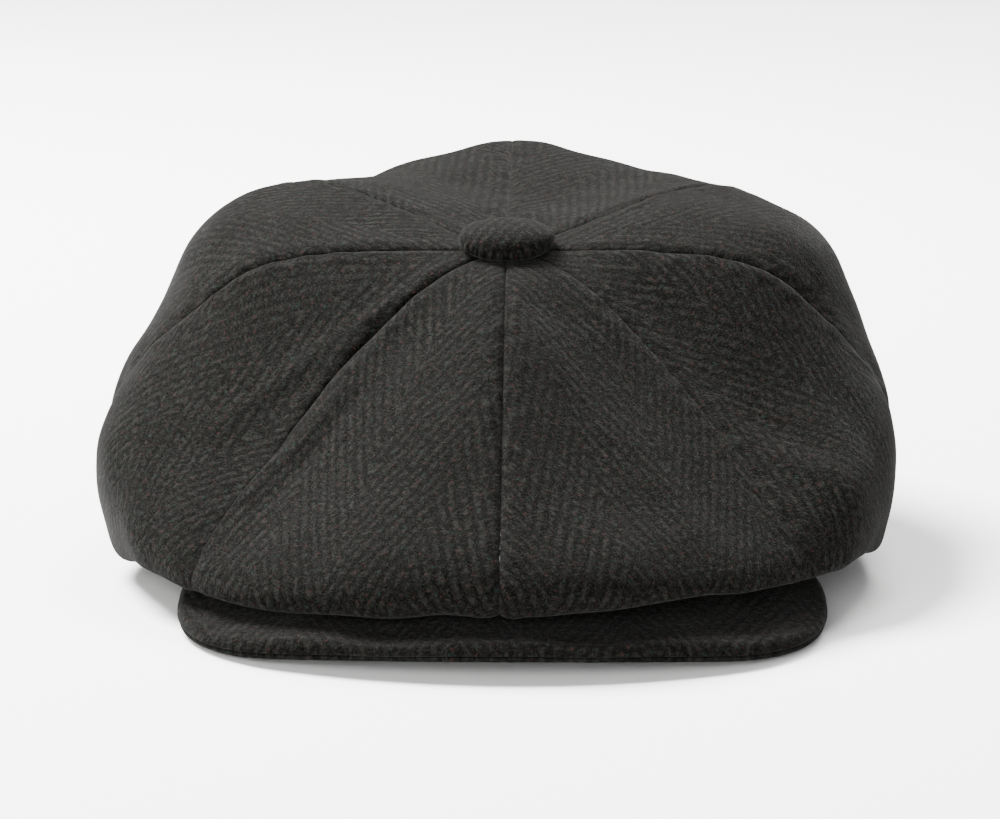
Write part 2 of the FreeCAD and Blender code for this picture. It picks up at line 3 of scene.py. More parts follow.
import bpy
import numpy as np
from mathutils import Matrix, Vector


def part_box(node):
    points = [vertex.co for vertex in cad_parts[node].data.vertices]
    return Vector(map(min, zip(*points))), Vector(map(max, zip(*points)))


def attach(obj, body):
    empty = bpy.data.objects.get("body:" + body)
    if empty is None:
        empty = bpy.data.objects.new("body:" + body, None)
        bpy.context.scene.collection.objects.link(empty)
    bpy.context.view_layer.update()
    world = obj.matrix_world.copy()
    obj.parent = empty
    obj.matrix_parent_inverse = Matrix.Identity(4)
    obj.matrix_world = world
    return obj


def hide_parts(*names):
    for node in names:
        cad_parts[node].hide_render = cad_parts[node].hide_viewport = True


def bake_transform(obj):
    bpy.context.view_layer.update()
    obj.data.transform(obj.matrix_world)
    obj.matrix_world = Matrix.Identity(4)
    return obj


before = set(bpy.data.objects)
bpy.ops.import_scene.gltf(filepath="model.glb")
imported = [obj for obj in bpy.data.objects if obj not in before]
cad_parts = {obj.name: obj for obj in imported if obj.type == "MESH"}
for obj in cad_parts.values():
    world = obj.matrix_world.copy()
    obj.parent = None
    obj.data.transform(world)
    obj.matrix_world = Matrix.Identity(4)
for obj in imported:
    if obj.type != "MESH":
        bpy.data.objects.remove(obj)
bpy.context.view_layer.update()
mm = 0.001                        # shapes are worked out in millimetres and written in metres
fullTurn = 2 * math.pi
rng = np.random.default_rng(58)


def corners(node):
    # lowest and highest corner of a CAD node, in millimetres
    low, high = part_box(node)
    return np.array(low) / mm, np.array(high) / mm


bandHigh = corners("sweatband")[1]
tapeHigh = corners("headsize_tape")[1]
head = {
    "bandWidth": bandHigh[0],     # outer half axes of the sweatband
    "bandLength": bandHigh[1],
    "bandOut": tapeHigh[0] - bandHigh[0],  # from there to the outer face of the stay tape
    "frontLift": 13.0,            # the front of the opening sits this high
    "liftStart": 35.0,            # y where the rise starts and ends
    "liftEnd": -45.0,
    "liftSoft": 0.22,             # share of the rise that each soft end takes
    "centreY": -7.0,              # y of the crown's middle
}
panelAngle = math.pi / 4          # one panel's share of the round


# small tools

def smooth(low, high, x):
    # 0 below low, 1 above high, an S curve between
    t = np.clip((x - low) / (high - low), 0, 1)
    return t * t * (3 - 2 * t)


def bell(x, width):
    # 1 at 0, falling away on both sides
    return np.exp(-(x / width) ** 2)


def waves(points, length, count=9):
    # soft lumps: a sum of cosine waves of about one length, running in random directions
    total = np.zeros(points.shape[:-1])
    for _ in range(count):
        way = rng.normal(size=3)
        way *= fullTurn / (length * rng.uniform(0.75, 1.35)) / np.linalg.norm(way)
        total += np.cos(points @ way + rng.uniform(0, fullTurn))
    return total / math.sqrt(count / 2)


def unit(v):
    # the same direction, one long
    return v / np.maximum(np.linalg.norm(v, axis=-1, keepdims=True), 1e-9)


def surfaceNormals(grid):
    # outward direction of a (row, turn) grid that closes on itself in turn
    down = np.gradient(grid, axis=0)
    along = np.roll(grid, -1, axis=1) - np.roll(grid, 1, axis=1)
    return unit(np.cross(down, along))


def walked(points):
    # length walked down the rows of points, 0 at the first row: the sum of the steps so far
    steps = np.linalg.norm(np.diff(points, axis=0), axis=-1)
    return np.concatenate([np.zeros((1, *steps.shape[1:])), np.cumsum(steps, axis=0)])


def toSegment(points, a, b):
    # distance of each point from the line between two points, and the share of the way along it
    a, b = np.array(a, float), np.array(b, float)
    share = np.clip((points - a) @ (b - a) / np.sum((b - a) ** 2), 0, 1)
    return np.linalg.norm(points - a - share[..., None] * (b - a), axis=-1), share


def shellMesh(name, loops, material, cloth=None, around=False):
    # a closed shell: each station holds one closed loop of points, and neighbouring stations are joined.
    # loops is (loop point, station, 3); around joins the last station to the first, else the ends are capped
    rows, stations = loops.shape[:2]
    index = np.arange(rows * stations).reshape(rows, stations)
    below = np.roll(index, -1, axis=0)
    if around:
        right, belowRight = np.roll(index, -1, axis=1), np.roll(below, -1, axis=1)
        faces = np.stack([index, below, belowRight, right], axis=-1).reshape(-1, 4)
    else:
        faces = np.stack([index[:, :-1], below[:, :-1], below[:, 1:], index[:, 1:]], axis=-1).reshape(-1, 4)
        k = np.arange(rows // 2 - 1)
        back = rows - 1 - k
        first = np.stack([index[k, 0], index[back, 0], index[back - 1, 0], index[k + 1, 0]], axis=-1)
        last = np.stack([index[k, -1], index[k + 1, -1], index[back - 1, -1], index[back, -1]], axis=-1)
        faces = np.concatenate([faces, first, last])
    points = loops.reshape(-1, 3)
    a, b, c, d = (points[faces[:, j]] for j in range(4))
    volume = np.sum(np.cross(a, b) * c) + np.sum(np.cross(a, c) * d)
    if volume < 0:                # it would be inside out
        faces = faces[:, ::-1]
    mesh = bpy.data.meshes.new(name)
    mesh.from_pydata(points * mm, [], faces.tolist())
    mesh.polygons.foreach_set("use_smooth", np.ones(len(faces), bool))
    if cloth is not None:
        layer = mesh.uv_layers.new(name="cloth")
        layer.data.foreach_set("uv", cloth.reshape(-1, 2)[faces.ravel()].ravel())
    mesh.materials.append(material)
    mesh.update()
    piece = bpy.data.objects.new(name, mesh)
    bpy.context.scene.collection.objects.link(piece)
    return piece


# materials

def newMaterial(name, roughness):
    # a material with its node tree and its shader
    material = bpy.data.materials.new(name)
    material.use_nodes = True
    tree = material.node_tree
    shader = tree.nodes["Principled BSDF"]
    shader.inputs["Roughness"].default_value = roughness
    return material, tree, shader


def node(tree, kind, values=None, **settings):
    # one shader node: settings on the node, and a link or a constant for each input
    made = tree.nodes.new("ShaderNode" + kind)
    for key, value in settings.items():
        setattr(made, key, value)
    for key, value in (values or {}).items():
        if isinstance(value, bpy.types.NodeSocket):
            tree.links.new(value, made.inputs[key])
        else:
            made.inputs[key].default_value = value
    return made


def calc(tree, operation, a, b=0.0, c=0.0, clamp=False):
    # one sum
    made = node(tree, "Math", {0: a, 1: b, 2: c}, operation=operation, use_clamp=clamp)
    return made.outputs[0]


def mixColour(tree, factor, a, b):
    # from colour a to colour b
    made = node(tree, "Mix", {0: factor, 6: a, 7: b}, data_type="RGBA")
    return made.outputs[2]


def noiseAt(tree, place, scale, detail=2.0, rough=0.5):
    # cloudy values about 0.5
    made = node(tree, "TexNoise", {"Vector": place, "Scale": scale, "Detail": detail, "Roughness": rough})
    return made.outputs[0]


def ramp(tree, value, low, high, toLow=0.0, toHigh=1.0):
    # a straight rise from toLow to toHigh while the value goes from low to high
    made = node(tree, "MapRange", {0: value, 1: low, 2: high, 3: toLow, 4: toHigh}, clamp=True)
    return made.outputs[0]


def bumpInto(tree, shader, height, strength, distance):
    # small relief on the shader, its distance in metres
    made = node(tree, "Bump", {"Height": height, "Strength": strength, "Distance": distance})
    tree.links.new(made.outputs[0], shader.inputs["Normal"])


tweed = {
    "dark": (0.0004, 0.0004, 0.0003, 1),    # yarn in the shade between ribs
    "light": (0.0106, 0.0103, 0.0093, 1),   # brushed fibre on the ribs
    "red": (0.020, 0.0095, 0.0085, 1),      # stray coloured fibres
    "green": (0.0075, 0.0125, 0.0105, 1),
    "strays": (("red", 0.66, 31.0), ("green", 0.65, 77.0)),     # how rare each is, and its noise's shift
    "strayShow": 0.6,
    "column": 26.0,                         # width of a herringbone column
    "rib": 3.45,                            # from one twill rib to the next
    "lean": 23.0,                           # degrees between ribs and columns
    "ribShow": 0.45,                        # how much of the tone the ribs and the brushed fibres carry
    "fibreShow": 0.70,
    "wobble": (2.6, 2.6, 0),                # how far the weave wanders
    "sheen": 0.032,
    "sheenRoughness": 0.32,
    "sheenTint": (0.93, 0.92, 0.9, 1),
    "specular": 0.025,
    "depth": 1.12,                          # power that deepens the shade between the fibres
    "bump": 0.00025,
    "dash": 2.6,                            # length of the short dashes the ribs are broken into
}


def makeTweed():
    # brushed herringbone, on a cloth map in millimetres: a sine wave across ribs of steep twill, whose place
    # across runs to and fro, so that they turn back at each column
    material, tree, shader = newMaterial("herringbone_tweed", 0.95)
    cloth = node(tree, "UVMap", uv_map="cloth").outputs[0]
    wobble = node(tree, "TexNoise", {"Vector": cloth, "Scale": 0.15, "Detail": 4.0})
    shift = node(tree, "VectorMath", {0: wobble.outputs[1], 1: (0.5, 0.5, 0.5)}, operation="SUBTRACT")
    strayed = {0: shift.outputs[0], 1: tweed["wobble"], 2: cloth}
    place = node(tree, "VectorMath", strayed, operation="MULTIPLY_ADD").outputs[0]
    split = node(tree, "SeparateXYZ", {0: place})
    across, along = split.outputs[0], split.outputs[1]
    lean = math.radians(tweed["lean"])
    folded = calc(tree, "PINGPONG", across, tweed["column"])
    ribs = calc(tree, "MULTIPLY", folded, math.cos(lean) * fullTurn / tweed["rib"])
    phase = calc(tree, "MULTIPLY_ADD", along, -math.sin(lean) * fullTurn / tweed["rib"], ribs)
    wave = calc(tree, "MULTIPLY_ADD", calc(tree, "SINE", phase), 0.5, 0.5)
    slant = calc(tree, "MULTIPLY_ADD", folded, math.tan(lean), along)
    ribNumber = calc(tree, "MULTIPLY", phase, 1 / fullTurn)
    dashNumber = calc(tree, "MULTIPLY", slant, 1 / tweed["dash"])
    ribPlace = node(tree, "CombineXYZ", {0: ribNumber, 1: dashNumber}).outputs[0]
    dashes = ramp(tree, noiseAt(tree, ribPlace, 1.0, 1.0, 0.5), 0.36, 0.60, 0.25, 1.25)
    # short lumps of yarn along each rib, and finer fibres over everything
    lumpPlace = node(tree, "Mapping", {"Vector": place, "Scale": (1.0, 0.6, 1.0)}).outputs[0]
    lumps = noiseAt(tree, lumpPlace, 0.85, 1.0, 0.4)
    fibrePlace = node(tree, "Mapping", {"Vector": place, "Scale": (1.0, 0.7, 1.0)}).outputs[0]
    fibres = noiseAt(tree, fibrePlace, 1.9, 2.0, 0.6)
    dashed = calc(tree, "MULTIPLY", wave, dashes)
    yarn = calc(tree, "MULTIPLY", dashed, ramp(tree, lumps, 0.34, 0.60, 0.55, 1.15))
    brushed = noiseAt(tree, cloth, 0.05, 3.0, 0.6)            # clouds where the brushing hides the weave
    clear = ramp(tree, brushed, 0.36, 0.66, 1.1, 0.45)
    ribPart = calc(tree, "MULTIPLY", calc(tree, "MULTIPLY", yarn, clear), tweed["ribShow"])
    tufts = ramp(tree, lumps, 0.30, 0.70, 0.35, 0.95)
    fibrePart = calc(tree, "MULTIPLY", ramp(tree, fibres, 0.44, 0.60), tufts)
    level = calc(tree, "ADD", ribPart, calc(tree, "MULTIPLY", fibrePart, tweed["fibreShow"]))
    level = calc(tree, "ADD", level, ramp(tree, brushed, 0.36, 0.70, 0.0, 0.10), clamp=True)
    level = calc(tree, "POWER", level, tweed["depth"])
    colour = mixColour(tree, level, tweed["dark"], tweed["light"])
    for word, threshold, seed in tweed["strays"]:
        moved = node(tree, "Mapping", {"Vector": place, "Location": (seed, seed, 0)}).outputs[0]
        stray = noiseAt(tree, moved, 0.55, 2.0, 0.6)
        amount = ramp(tree, stray, threshold - 0.05, threshold + 0.04, 0.0, tweed["strayShow"])
        colour = mixColour(tree, amount, colour, tweed[word])
    tree.links.new(colour, shader.inputs["Base Color"])
    shader.inputs["Sheen Weight"].default_value = tweed["sheen"]
    shader.inputs["Sheen Roughness"].default_value = tweed["sheenRoughness"]
    shader.inputs["Sheen Tint"].default_value = tweed["sheenTint"]
    shader.inputs["Specular IOR Level"].default_value = tweed["specular"]
    bumpInto(tree, shader, level, 0.8, tweed["bump"])
    return material


satin = {
    "dark": (0.016, 0.016, 0.018, 1),
    "light": (0.034, 0.034, 0.037, 1),
    "threads": (900, 900, 5200),  # threads to the metre, across and up
    "roughness": 0.34,
    "sheen": 0.15,
}


def makeSatin():
    # fine level threads across the gores, slow clouds of shade and a soft gloss
    material, tree, shader = newMaterial("lining_satin", satin["roughness"])
    place = node(tree, "TexCoord").outputs["Object"]
    streaks = node(tree, "Mapping", {"Vector": place, "Scale": satin["threads"]}).outputs[0]
    threads = noiseAt(tree, streaks, 1.0, 2.0)
    shade = ramp(tree, noiseAt(tree, place, 60.0), 0.3, 0.7, 0.8, 1.25)
    woven = mixColour(tree, threads, satin["dark"], satin["light"])
    colour = node(tree, "VectorMath", {0: woven, "Scale": shade}, operation="SCALE").outputs[0]
    tree.links.new(colour, shader.inputs["Base Color"])
    shader.inputs["Sheen Weight"].default_value = satin["sheen"]
    bumpInto(tree, shader, threads, 0.25, 0.0001)
    return material


def makeTwill(name, dark, light, pitch, roughness=0.78):
    # plain diagonal twill on a cloth map: a sine wave across ribs at 60 degrees, broken by yarn noise
    material, tree, shader = newMaterial(name, roughness)
    cloth = node(tree, "UVMap", uv_map="cloth").outputs[0]
    split = node(tree, "SeparateXYZ", {0: cloth})
    lean = calc(tree, "MULTIPLY", split.outputs[0], math.sin(math.radians(60)) * fullTurn / pitch)
    phase = calc(tree, "MULTIPLY_ADD", split.outputs[1], 0.5 * fullTurn / pitch, lean)
    wave = calc(tree, "MULTIPLY_ADD", calc(tree, "SINE", phase), 0.5, 0.5)
    yarn = calc(tree, "MULTIPLY", wave, ramp(tree, noiseAt(tree, cloth, 1.6, 2.0), 0.3, 0.7, 0.5, 1.1))
    patchy = ramp(tree, noiseAt(tree, cloth, 0.06, 2.0), 0.35, 0.65, 0.75, 1.0)
    level = calc(tree, "MULTIPLY", yarn, patchy, clamp=True)
    tree.links.new(mixColour(tree, level, dark, light), shader.inputs["Base Color"])
    bumpInto(tree, shader, wave, 0.5, 0.00018)
    return material


def makeGrained(name, dark, light, scale, roughness, metallic=0.0, depth=0.00005):
    # cloudy two-tone finish with a fine grain, for pieces that keep their CAD mesh
    material, tree, shader = newMaterial(name, roughness)
    place = node(tree, "TexCoord").outputs["Object"]
    grain = noiseAt(tree, place, scale, 3.0, 0.6)
    tree.links.new(mixColour(tree, ramp(tree, grain, 0.3, 0.7), dark, light), shader.inputs["Base Color"])
    shader.inputs["Metallic"].default_value = metallic
    bumpInto(tree, shader, grain, 0.4, depth)
    return material


tweedCloth = makeTweed()
liningSatin = makeSatin()
# dark tone, light tone, then the pitch of the ribs in millimetres
bandTwill = makeTwill("sweatband_twill", (0.008, 0.008, 0.009, 1), (0.04, 0.04, 0.042, 1), 1.1)
stayTape = makeTwill("stay_tape_weave", (0.022, 0.022, 0.022, 1), (0.07, 0.07, 0.068, 1), 0.9)
labelTape = makeTwill("label_ribbon", (0.42, 0.41, 0.38, 1), (0.62, 0.6, 0.56, 1), 0.45, 0.5)
# dark tone, light tone, then the fineness of the grain
boardPlastic = makeGrained("peak_board_plastic", (0.55, 0.53, 0.48, 1), (0.7, 0.68, 0.62, 1), 700.0, 0.45)
buttonMetal = makeGrained("button_zinc", (0.38, 0.38, 0.39, 1), (0.62, 0.62, 0.63, 1), 1500.0, 0.35, 1.0)
sewingThread = makeGrained("black_thread", (0.012, 0.012, 0.012, 1), (0.05, 0.05, 0.05, 1), 4000.0, 0.7,
                           depth=0.0001)
print("materials made")


# ovals and the height of the head opening

def ovalReach(turn, out):
    # distance from the crown's middle, at an angle from the front, to the oval that far outside the
    # sweatband: the far root of the quadratic where the ray meets the oval
    a, b, y0 = head["bandWidth"] + out, head["bandLength"] + out, head["centreY"]
    dx, dy = np.sin(turn), -np.cos(turn)
    qa, qb, qc = (dx / a) ** 2 + (dy / b) ** 2, 2 * y0 * dy / b ** 2, (y0 / b) ** 2 - 1
    return (-qb + np.sqrt(qb * qb - 4 * qa * qc)) / (2 * qa)


def lifted(y):
    # share of the front lift reached at y: a straight rise with a parabola at each end
    soft = head["liftSoft"]
    part = np.clip((head["liftStart"] - y) / (head["liftStart"] - head["liftEnd"]), -soft, 1 + soft)
    start = (part + soft) ** 2 / (4 * soft)
    end = 1 - (1 + soft - part) ** 2 / (4 * soft)
    return np.where(part < soft, start, np.where(part > 1 - soft, end, part))


def openingHeight(y):
    # height of the sweatband's lower edge
    return head["frontLift"] * lifted(y)


# crown: eight panels

crown = {
    "apexHeight": 103.5,
    "apexHole": 3.6,              # radius left open for the button's shank
    "apexTilt": 4.5,              # degrees the top leans forward
    "topReach": 27.0,             # flat top under and around the button
    "seams": {                    # (reach, height) of each seam's curve points, every 45 degrees
        "front": [(58, 84), (96, 53), (130.5, 35.5), (146, 18), (132.5, 6)],
        "frontSide": [(57.5, 78.5), (97, 47.5), (129, 32), (144, 9.5), (130, 7)],
        "side": [(81, 104), (99, 85.5), (140.5, 54.5), (131.5, 20.5), (124, -7.5)],
        "backSide": [(99.5, 121.5), (135.5, 98.5), (124.5, 70), (145, 54), (111.5, -1.5)],
        "back": [(76.5, 110.5), (126.5, 119.5), (148, 115), (131, 46.5), (123, -5)],
    },
    "edgeGap": 0.4,               # between the sewn edge and the stay tape
    "edgeLow": 3.5,               # height of the sewn edge over the opening, behind and in front
    "edgeHigh": 8.4,
    "puff": 3.0,                  # each panel's middle swells out this far, and dips at the shoulder
    "dip": 1.5,
    "plainMiddle": 0.6,           # share of that left out along the front and back seams
    "plainWidth": 0.6,            # and how far round, in radians
    "rearFullness": 3.0,          # extra width behind the sides
    "rearAt": (113.0, 17.0),      # degrees from the front, and width
    "sideLift": 7.0,              # the cloth's lower roll rises to the wearer's left
    "hornLift": 9.0,              # and over the horns of the peak
    "hornAt": (60.0, 14.0),
    "sideTuck": 8.5,              # the wearer's left side hangs less wide low down
    "seamBow": 7.5,               # degrees the two front side seams swing out near the button
    "bowWidth": 0.42,             # how far round the bow is felt, in radians
    "bowFrom": 0.35,              # and how soon it starts beside the front seam
    "bowFades": (0.25, 0.8),      # share of the way down where the bow starts and ends to fade
    "thick": 1.9,
    "columns": 72,                # grid of one panel
    "rows": 190,
    "crowding": 0.88,             # how much closer the columns stand beside the seams
    "seamDepth": 1.9,             # the seams sink this far, in a V this wide, between two soft ridges
    "seamWidth": 0.95,
    "seamShow": [1.0, 0.3, 0.6, 0.5, 0.45, 0.5, 0.65, 1.0],     # strength of each, from the front by the left
    "seamFade": 0.8,              # share of the depth lost towards the roll, except at the front seam
    "ridge": 0.45,                # height of the ridges, how far they stand from the seam, and their width
    "ridgeAt": 4.5,
    "ridgeWidth": 2.8,
    "pucker": 0.16,               # height and length of the small gathers beside the seams
    "puckerLength": 9.0,
    "dents": [(80.0, 0.8), (36.0, 0.35), (16.0, 0.12)],   # (length, height) of the cloth's soft lumps
    "dentsInside": 0.7,           # share of them that the inner face follows
    "weaveStart": 520.0,          # where the weave starts on the first panel, clear of 0
}
# each panel, and how far its herringbone columns are shifted
weaveShift = {"front_left": 13, "front_side_left": 20, "back_side_left": 6, "back_left": 17,
              "back_right": 9, "back_side_right": 24, "front_side_right": 3, "front_right": 26}
# soft folds of the worn cloth: (turn in degrees, share of the way down) at both ends, width and height
folds = [
    ((310, 0.20), (301, 0.56), 4.5, 1.2),
    ((321, 0.38), (316, 0.62), 3.5, 0.9),
    ((326, 0.36), (320, 0.64), 3.5, -0.9),
    ((56, 0.52), (64, 0.70), 7.0, -0.9),
    ((50, 0.50), (57, 0.69), 6.0, 0.5),
    ((268, 0.66), (276, 0.80), 6.0, -1.6),
    ((92, 0.64), (84, 0.78), 6.0, -1.6),
    ((20, 0.70), (36, 0.62), 8.0, 0.7),
    ((338, 0.62), (322, 0.72), 8.0, 0.7),
    ((150, 0.45), (138, 0.62), 9.0, 1.3),
    ((205, 0.50), (222, 0.62), 9.0, -1.3),
    ((120, 0.72), (108, 0.84), 8.0, -1.4),
    ((248, 0.70), (238, 0.85), 8.0, -1.4),
]


def keyed(values, turn):
    # smooth curve, the same left and right, through values at 0, 45, 90, 135 and 180 degrees: a sum of
    # five cosines
    n = len(values) - 1
    ends = np.where(np.isin(np.arange(n + 1), (0, n)), 0.5, 1.0)
    grid = np.cos(np.outer(np.arange(n + 1), np.arange(n + 1)) * math.pi / n)
    weights = grid @ (ends * np.array(values, float)) * 2 / n
    return np.cos(np.outer(turn, np.arange(n + 1))) @ (ends * weights)


def crownPoles(turn):
    # eight curve points (reach, height) from the button to the sewn edge, at each angle: the hole, the flat
    # top, five keyed round the crown and the edge, then moved by swellings and lifts that fade to both sides
    tilt = math.tan(math.radians(crown["apexTilt"])) * np.cos(turn)
    hole, top = crown["apexHole"] + 0 * turn, crown["topReach"] + 0 * turn
    reach = [hole, top] + [keyed([s[k][0] for s in crown["seams"].values()], turn) for k in range(5)]
    height = [crown["apexHeight"] - hole * tilt, crown["apexHeight"] - top * tilt]
    height += [keyed([s[k][1] for s in crown["seams"].values()], turn) for k in range(5)]
    edge = ovalReach(turn, head["bandOut"]) + crown["edgeGap"]
    y = head["centreY"] - edge * np.cos(turn)
    reach.append(edge)
    height.append(openingHeight(y) + crown["edgeLow"] + (crown["edgeHigh"] - crown["edgeLow"]) * lifted(y))
    angle = np.minimum(turn, fullTurn - turn)
    plain = crown["plainMiddle"] * sum(bell(angle - middle, crown["plainWidth"]) for middle in (0, math.pi))
    swell = (0.5 - (1 - np.abs(np.sin(4 * turn))) ** 1.5) * (1 - plain)
    rearAt, rearWidth, hornAt, hornWidth = np.radians(crown["rearAt"] + crown["hornAt"])
    full = crown["rearFullness"] * bell(angle - rearAt, rearWidth)
    tuck = crown["sideTuck"] * np.maximum(np.sin(turn), 0) ** 2
    lift = crown["sideLift"] * 0.5 * (1 + np.sin(turn)) * np.maximum(np.cos(turn) + 0.35, 0)
    horn = crown["hornLift"] * bell(angle - hornAt, hornWidth)
    reach[2] = reach[2] - 0.4 * crown["dip"] * swell
    reach[3] = reach[3] + full
    reach[4] = reach[4] + crown["puff"] * swell + 0.6 * full - 0.5 * tuck
    reach[5] = reach[5] + 0.8 * crown["puff"] * swell - tuck
    height[2] = height[2] - crown["dip"] * swell
    height[4] = height[4] + 0.4 * lift
    height[5] = height[5] + 0.9 * lift + 0.2 * horn
    height[6] = height[6] + 0.9 * lift + horn
    return np.stack([np.stack(reach), np.stack(height)], axis=-1)


def splineWeights(count, t):
    # weights of a clamped even cubic B-spline at places t, counted in spans: de Boor's sums, by degree
    spans = count - 3
    knots = np.concatenate([[0] * 3, np.arange(spans + 1), [spans] * 3]).astype(float)
    t = np.clip(np.asarray(t, float), 0, spans - 1e-9)[:, None]
    w = ((knots[:-1] <= t) & (t < knots[1:])).astype(float)
    for degree in (1, 2, 3):
        lowGap = knots[degree:-1] - knots[:-degree - 1]
        highGap = knots[degree + 1:] - knots[1:-degree]
        up = np.where(lowGap > 0, (t - knots[:-degree - 1]) / np.where(lowGap > 0, lowGap, 1), 0)
        fall = np.where(highGap > 0, (knots[degree + 1:] - t) / np.where(highGap > 0, highGap, 1), 0)
        w = up * w[:, :-1] + fall * w[:, 1:]
    return w


def evenPlaces(poles, rows):
    # places along a spline that are an equal length apart, read off a fine walk along it
    fine = np.linspace(0, len(poles) - 3, 1500)
    run = walked(splineWeights(len(poles), fine) @ poles)
    return np.interp(np.linspace(0, run[-1], rows), run, fine)


def standUp(profile, turn):
    # (reach, height) at each turn, set up in the cap: reach times sine and cosine of the turn
    reach, height = profile[..., 0], profile[..., 1]
    return np.stack([reach * np.sin(turn), head["centreY"] - reach * np.cos(turn), height], axis=-1)


def crownCloth():
    # grid of the whole crown: outer face, inner face, and the cloth map (across, down) of each panel. The
    # spline of each column is set up round the crown, then moved along its normal by lumps, folds and seams
    count = crown["columns"]
    share = np.arange(count) / count
    eased = share - crown["crowding"] * np.sin(fullTurn * share) / fullTurn
    turn = (np.arange(8)[:, None] + eased).ravel() * panelAngle
    across = np.tile(eased, 8)
    # the front side seams bow: their turn grows towards the button, and their neighbours' with it
    angle = np.minimum(turn, fullTurn - turn)
    pull = np.sign(np.sin(turn)) * bell(angle - panelAngle, crown["bowWidth"])
    pull = pull * smooth(0, crown["bowFrom"], angle)
    fade = 1 - smooth(*crown["bowFades"], np.linspace(0, 1, crown["rows"]))
    turned = turn + math.radians(crown["seamBow"]) * fade[:, None] * pull
    poles = crownPoles(turned.ravel()).reshape(8, *turned.shape, 2)
    places = evenPlaces(crownPoles(np.array([0.4]))[:, 0], crown["rows"])
    profile = np.einsum("rp,prcd->rcd", splineWeights(8, places), poles)
    base = standUp(profile, turned)
    reach = profile[..., 0]
    down = walked(base)
    toSeam = reach * np.minimum(across, 1 - across) * panelAngle
    drop = down / down[-1]

    # cloth: lumps that die out at the sewn edge, folds, puckers beside the seams, and the sunken seams
    loose = smooth(16, 45, reach) * smooth(0, 0.16, 1 - drop)
    show = np.interp(turn / panelAngle, np.arange(9), crown["seamShow"] + crown["seamShow"][:1])
    keep = 1 - crown["seamFade"] * smooth(0.25, 0.6, drop) * (1 - bell(np.sin(turn / 2), 0.2))
    show = show * keep * (1 - 0.5 * smooth(0.66, 0.8, drop))
    soft = sum(height * waves(base, length) for length, height in crown["dents"])
    soft = soft * loose * (0.45 + 0.55 * smooth(0, 22, toSeam))
    for (turnA, downA), (turnB, downB), width, height in folds:
        ends = []
        for degrees, part in ((turnA, downA), (turnB, downB)):
            column = int(np.argmin(np.abs(turn - math.radians(degrees))))
            ends.append(base[int(part * (len(base) - 1)), column])
        distance, along = toSegment(base, *ends)
        soft += height * bell(distance, width) * (0.4 + 0.6 * np.sin(math.pi * np.clip(along, 0.05, 0.95)))
    ridges = crown["ridge"] * bell(toSeam - crown["ridgeAt"], crown["ridgeWidth"])
    ridges = ridges * smooth(17, 30, reach) * show
    gathers = waves(base, crown["puckerLength"], 12) * crown["pucker"] * bell(toSeam - 3.0, 5.0)
    gathers = gathers * smooth(20, 40, reach) * smooth(0, 0.1, 1 - drop)
    groove = crown["seamDepth"] * np.exp(-toSeam / crown["seamWidth"]) * smooth(3, 14, reach) * show
    normals = surfaceNormals(base)
    outer = base + normals * (soft + ridges + gathers - groove)[..., None]
    inner = base + normals * (crown["dentsInside"] * soft - crown["thick"])[..., None]
    middle = np.repeat(turned[:, count // 2::count], count, axis=1)
    cloth = np.stack([reach * (turned - middle), down], axis=-1)
    return outer, inner, cloth


outerGrid, innerGrid, clothMap = crownCloth()
for k, (name, shift) in enumerate(weaveShift.items()):
    count = crown["columns"]
    wrapped = np.arange(k * count, (k + 1) * count + 1) % (8 * count)
    ownCloth = clothMap[:, wrapped].copy()
    ownCloth[:, -1, 0] = -ownCloth[:, 0, 0]       # the last column is the next panel's first
    ownCloth[..., 0] += shift + crown["weaveStart"]
    loops = np.concatenate([outerGrid[:, wrapped], innerGrid[::-1, wrapped]])
    panel = shellMesh("tweed_panel_" + name, loops, tweedCloth, np.concatenate([ownCloth, ownCloth[::-1]]))
    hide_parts("crown_panel_" + name)
    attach(panel, "root")
print("crown panels made")


# lining: eight satin gores

lining = {
    "drop": 11.0,                 # room left under the crown's top
    "slack": 6.5,                 # how far it hangs inside the crown
    "slot": 0.5,                  # its lower edge, outward from the sweatband
    "aboveBand": 28.0,            # height of the sweatband's top, and how far the edge reaches below it
    "tuck": 5.0,
    "thick": 0.5,
    "columns": 26,
    "rows": 80,
    "folds": [(38.0, 1.1), (17.0, 0.35)],         # (length, height) of its soft lumps
    "seamDepth": 0.8,             # how far the seam allowances stand inward, and their width
    "seamWidth": 1.4,
}


def liningPoles(turn):
    # eight curve points (reach, height): inside the crown, then straight down behind the sweatband
    outer = crownPoles(turn)
    slot = ovalReach(turn, lining["slot"])
    rim = openingHeight(head["centreY"] - slot * np.cos(turn)) + lining["aboveBand"]
    top = crown["apexHeight"] - lining["drop"] + 0 * turn
    foot = np.stack([slot, rim + 4], axis=-1)
    upper = outer[2] - lining["slack"] * np.array([1, 1.2])
    full = (0.5 - 0.5 * np.cos(turn))[:, None]              # 0 on the tight front slope, 1 in the full back
    shoulder = outer[3] - 1.3 * lining["slack"]
    belly = 0.5 * (shoulder + np.stack([slot, rim], axis=-1)) + lining["slack"]
    middle = [(upper + part * (foot - upper)) * (1 - full) + roomy * full
              for part, roomy in ((0.55, shoulder), (0.9, belly))]
    loose = full[:, 0]
    ends = [(slot + 1.5 * loose, rim + 2 + 6 * loose), (slot, rim + 1), (slot, rim - lining["tuck"])]
    start = [np.stack([r + 0 * turn, top], axis=-1) for r in (0.8, 20.0)]
    return np.stack(start + [upper, *middle] + [np.stack(e, axis=-1) for e in ends])


